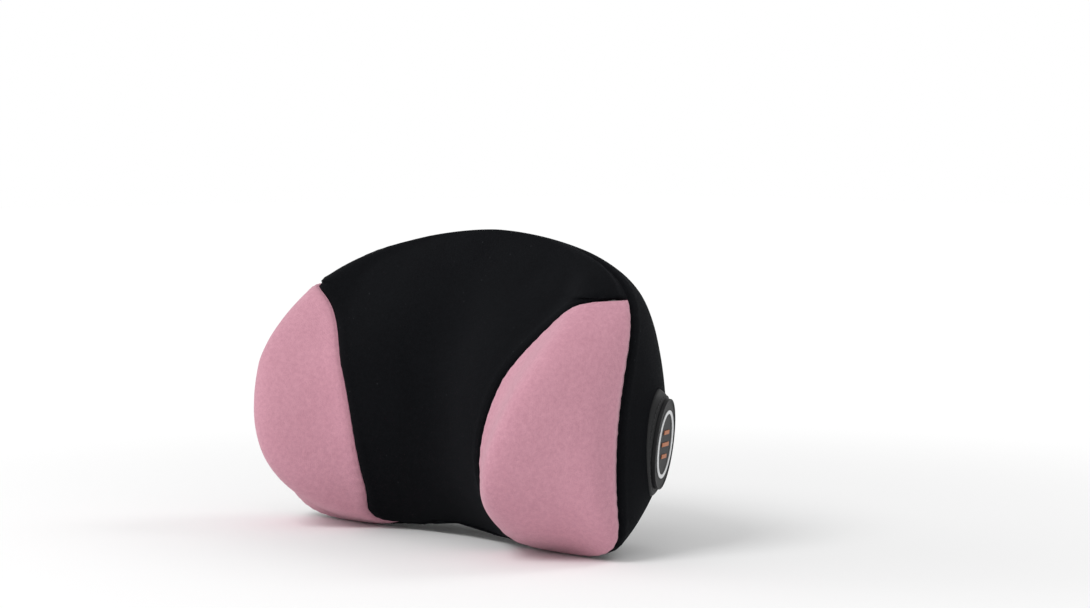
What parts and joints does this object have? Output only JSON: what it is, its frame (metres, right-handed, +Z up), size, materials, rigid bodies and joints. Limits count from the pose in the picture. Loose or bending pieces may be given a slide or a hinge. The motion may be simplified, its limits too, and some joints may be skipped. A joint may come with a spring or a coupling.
{
  "type": "headrest pillow",
  "caption": "Memory foam head and neck pillow for a chair, with two forward wings, a zipped two-tone cover and an elastic strap with a side-release buckle.",
  "frame": {"origin": "middle of the flat back face that rests against the chair", "axes": "+Z up, +Y out of the back face towards the chair, -Y towards the user's head, X across the two wings with +X on the badge's side"},
  "size_m": [0.29, 0.1482, 0.185],
  "materials": {
    "foam": "open-cell slow-recovery foam, off-white",
    "liner": "thin white knit liner",
    "black_knit": "fine brushed stretch knit, black, with a soft sheen at grazing angles",
    "pink_knit": "fine brushed stretch knit, dusty pink, faintly mottled",
    "webbing": "woven elastic and zip tape, black",
    "black_plastic": "moulded acetal, fine satin texture",
    "zip_metal": "gunmetal plated zinc",
    "badge_rubber": "soft moulded rubber, stitched round the edge",
    "badge_print": "pale raised rubber ring",
    "badge_accent": "orange-brown raised rubber bars"
  },
  "bodies": {
    "pillow": {"foam_core": "foam", "inner_liner_front": "liner", "inner_liner_back": "liner", "front_centre_panel": "black_knit", "wing_panel_left": "pink_knit", "wing_panel_right": "pink_knit", "side_panel_left": "black_knit", "side_panel_right": "black_knit", "back_panel_upper": "black_knit", "back_panel_lower": "black_knit", "zip_tape_upper": "webbing", "zip_tape_lower": "webbing", "zip_teeth_upper": "black_plastic", "zip_teeth_lower": "black_plastic", "zip_stop_left": "zip_metal", "zip_stop_right": "zip_metal", "strap_left": "webbing", "strap_right": "webbing", "buckle_socket": "black_plastic", "badge_flange": "badge_rubber", "badge_disc": "badge_rubber", "badge_ring": "badge_print", "badge_mark": "badge_accent"},
    "slider": {"zip_slider": "zip_metal"},
    "pull": {"zip_pull": "zip_metal"},
    "plug": {"buckle_plug": "black_plastic", "strap_loop": "webbing"},
    "upper_latch": {"latch_arm_upper": "black_plastic"},
    "lower_latch": {"latch_arm_lower": "black_plastic"}
  },
  "joints": [
    {"name": "zip_run", "type": "slide", "parent": "pillow", "child": "slider", "axis": [-1, 0, 0], "range_m": [0, 0.143]},
    {"name": "pull_flip", "type": "hinge", "parent": "slider", "child": "pull", "pos_m": [0.0715, 0.0032, -0.044], "axis": [0, 0, -1], "range_deg": [0, 160]},
    {"name": "buckle_release", "type": "slide", "parent": "pillow", "child": "plug", "axis": [1, 0, 0], "range_m": [0, 0.026], "deforming": ["strap_right", "latch_arm_upper", "latch_arm_lower"]},
    {"name": "upper_latch_press", "type": "hinge", "parent": "plug", "child": "upper_latch", "pos_m": [0.012, 0.013, 0.037], "axis": [0, -1, 0], "range_deg": [0, 12], "stiffness_Nm_per_rad": 0.4},
    {"name": "lower_latch_press", "type": "hinge", "parent": "plug", "child": "lower_latch", "pos_m": [0.012, 0.013, 0.007], "axis": [0, 1, 0], "range_deg": [0, 12], "stiffness_Nm_per_rad": 0.4}
  ]
}
